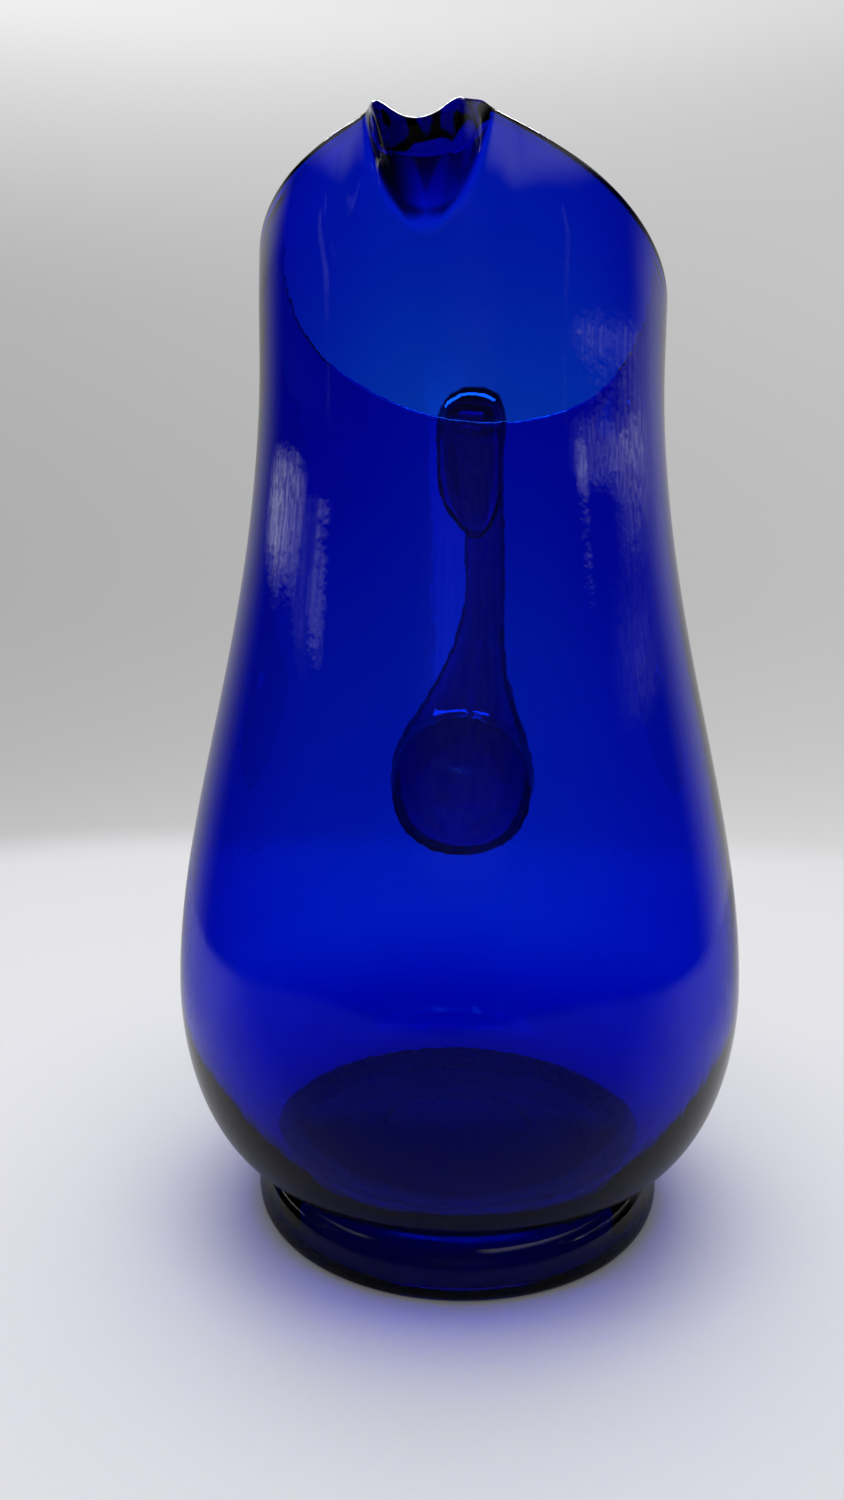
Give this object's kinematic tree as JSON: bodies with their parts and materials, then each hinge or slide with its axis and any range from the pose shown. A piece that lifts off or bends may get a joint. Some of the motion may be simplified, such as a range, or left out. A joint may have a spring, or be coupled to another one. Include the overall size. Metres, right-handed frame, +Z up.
{
  "type": "glass pitcher",
  "caption": "Footed blown-glass pitcher with a slanted rim, a pinched pouring lip and an applied loop handle.",
  "frame": {"origin": "middle of the foot's underside, on the surface that the pitcher stands on", "axes": "+Z up, +Y towards the handle, so the pouring lip points about -Y"},
  "size_m": [0.1359, 0.1688, 0.2449],
  "materials": {
    "cobalt_glass": "gloss, clear deep cobalt blue"
  },
  "bodies": {
    "root": {"vessel": "cobalt_glass", "foot": "cobalt_glass", "handle": "cobalt_glass"}
  },
  "joints": []
}
